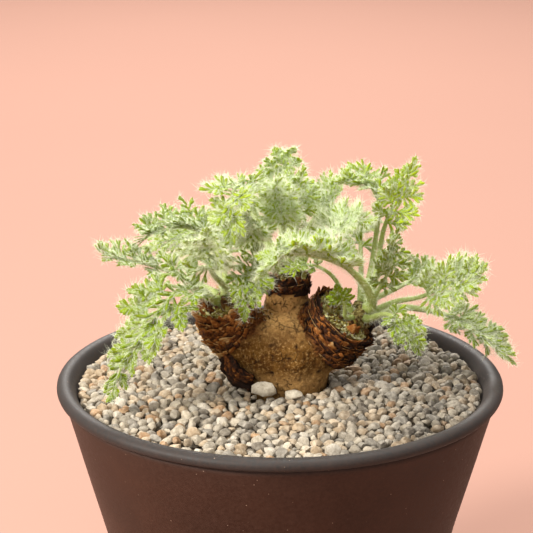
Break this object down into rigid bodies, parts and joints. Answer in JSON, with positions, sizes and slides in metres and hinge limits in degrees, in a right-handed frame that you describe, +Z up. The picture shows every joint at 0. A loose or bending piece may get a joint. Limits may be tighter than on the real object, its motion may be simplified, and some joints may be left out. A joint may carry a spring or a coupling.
{
  "type": "potted pelargonium",
  "caption": "Potted night-scented pelargonium: a squat branching caudex with feathery, silky cut fronds, in gravel-topped soil in a tapered brown stoneware pot.",
  "frame": {"origin": "middle of the pot's flat underside", "axes": "+Z up, -Y towards the picture's camera, +X to its right"},
  "size_m": [0.1237, 0.12, 0.153],
  "materials": {
    "stoneware": "satin brown stoneware",
    "pumice": "rough stone",
    "soil": "crumbly",
    "pebbles": "matt stone",
    "bark": "rough bark",
    "dry_scale": "dry and papery",
    "silky_leaf": "silky hairs"
  },
  "bodies": {
    "root": {"pot": "stoneware", "drainage_layer": "pumice", "potting_mix": "soil", "gravel_dressing": "pebbles", "caudex": "bark", "crown_scales_left": "dry_scale", "crown_scales_middle": "dry_scale", "crown_scales_right": "dry_scale", "bark_flake": "dry_scale", "frond_far_left": "silky_leaf", "frond_left_arch": "silky_leaf", "frond_left_fluffy": "silky_leaf", "frond_left_low": "silky_leaf", "frond_back_left": "silky_leaf", "frond_left_back": "silky_leaf", "frond_left_hang": "silky_leaf", "frond_top_left": "silky_leaf", "frond_centre_left": "silky_leaf", "frond_top_spire": "silky_leaf", "frond_centre_fan": "silky_leaf", "frond_centre_right": "silky_leaf", "frond_right_fluffy": "silky_leaf", "frond_mid_right": "silky_leaf", "frond_back_middle": "silky_leaf", "frond_back_top": "silky_leaf", "frond_front_arch": "silky_leaf", "frond_under_arch": "silky_leaf", "frond_right_top_left": "silky_leaf", "frond_right_top": "silky_leaf", "frond_right_upright": "silky_leaf", "frond_right_out": "silky_leaf", "frond_right_behind": "silky_leaf", "frond_right_low": "silky_leaf", "frond_right_droop": "silky_leaf", "frond_right_young": "silky_leaf", "frond_back_right": "silky_leaf"}
  },
  "joints": []
}
